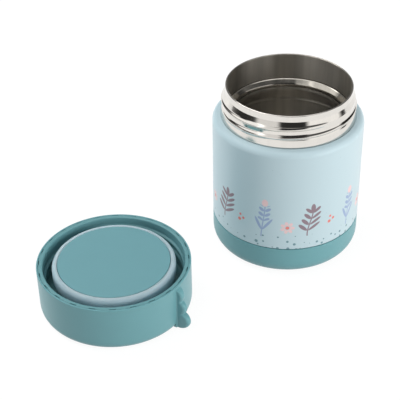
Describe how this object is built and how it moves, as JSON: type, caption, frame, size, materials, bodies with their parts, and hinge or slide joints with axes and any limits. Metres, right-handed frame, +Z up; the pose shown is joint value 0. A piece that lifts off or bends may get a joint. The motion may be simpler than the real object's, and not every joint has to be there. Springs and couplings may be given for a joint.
{
  "type": "insulated food jar",
  "caption": "Wide-mouth vacuum food jar: painted steel vessel with a threaded steel neck and a base cup, its screw-on lid lying upside down beside it.",
  "frame": {"origin": "centre of the jar's flat foot, on the surface that the jar and the lid stand on", "axes": "+Z up along the jar's axis, towards its mouth; the lid stands upside down towards -X and -Y"},
  "size_m": [0.2021, 0.1593, 0.1126],
  "materials": {
    "painted_shell": "light-blue powder paint, satin, with a bare polished neck",
    "liner_steel": "brushed and polished stainless steel",
    "plain_steel": "drawn stainless sheet",
    "solder_glass": "dark solder glass",
    "getter_metal": "pressed metal powder",
    "foil": "thin metal foil",
    "teal_plastic": "satin moulded polypropylene",
    "teal_inner_plastic": "satin moulded polypropylene",
    "teal_disc": "satin moulded polypropylene",
    "adhesive": "white structural foam tape",
    "foam": "white expanded foam",
    "silicone": "translucent-looking light-blue silicone"
  },
  "bodies": {
    "jar": {"outer_shell": "painted_shell", "liner_mouth": "liner_steel", "inner_liner": "liner_steel", "liner_bottom": "liner_steel", "vacuum_bottom": "plain_steel", "exhaust_seal": "solder_glass", "getter_pan": "plain_steel", "getter": "getter_metal", "radiation_foil": "foil", "base_cup": "teal_plastic", "base_adhesive": "adhesive"},
    "lid_carrier": {"lid_foam": "foam"},
    "lid": {"lid_cover": "teal_plastic", "lid_collar": "teal_inner_plastic", "plug_cup": "teal_inner_plastic", "plug_foam": "foam", "plug_disc": "teal_disc"},
    "seal": {"seal_ring": "silicone"}
  },
  "joints": [
    {"name": "lid_lift", "type": "slide", "parent": "jar", "child": "lid_carrier", "axis": [0, 0, 1], "range_m": [0, 0.13]},
    {"name": "lid_turn", "type": "hinge", "parent": "lid_carrier", "child": "lid", "pos_m": [-0.1084, -0.0656, 0.015], "axis": [0, 0, 1], "continuous": true},
    {"name": "seal_pull", "type": "slide", "parent": "lid", "child": "seal", "axis": [0, 0, 1], "range_m": [0, 0.02]}
  ]
}
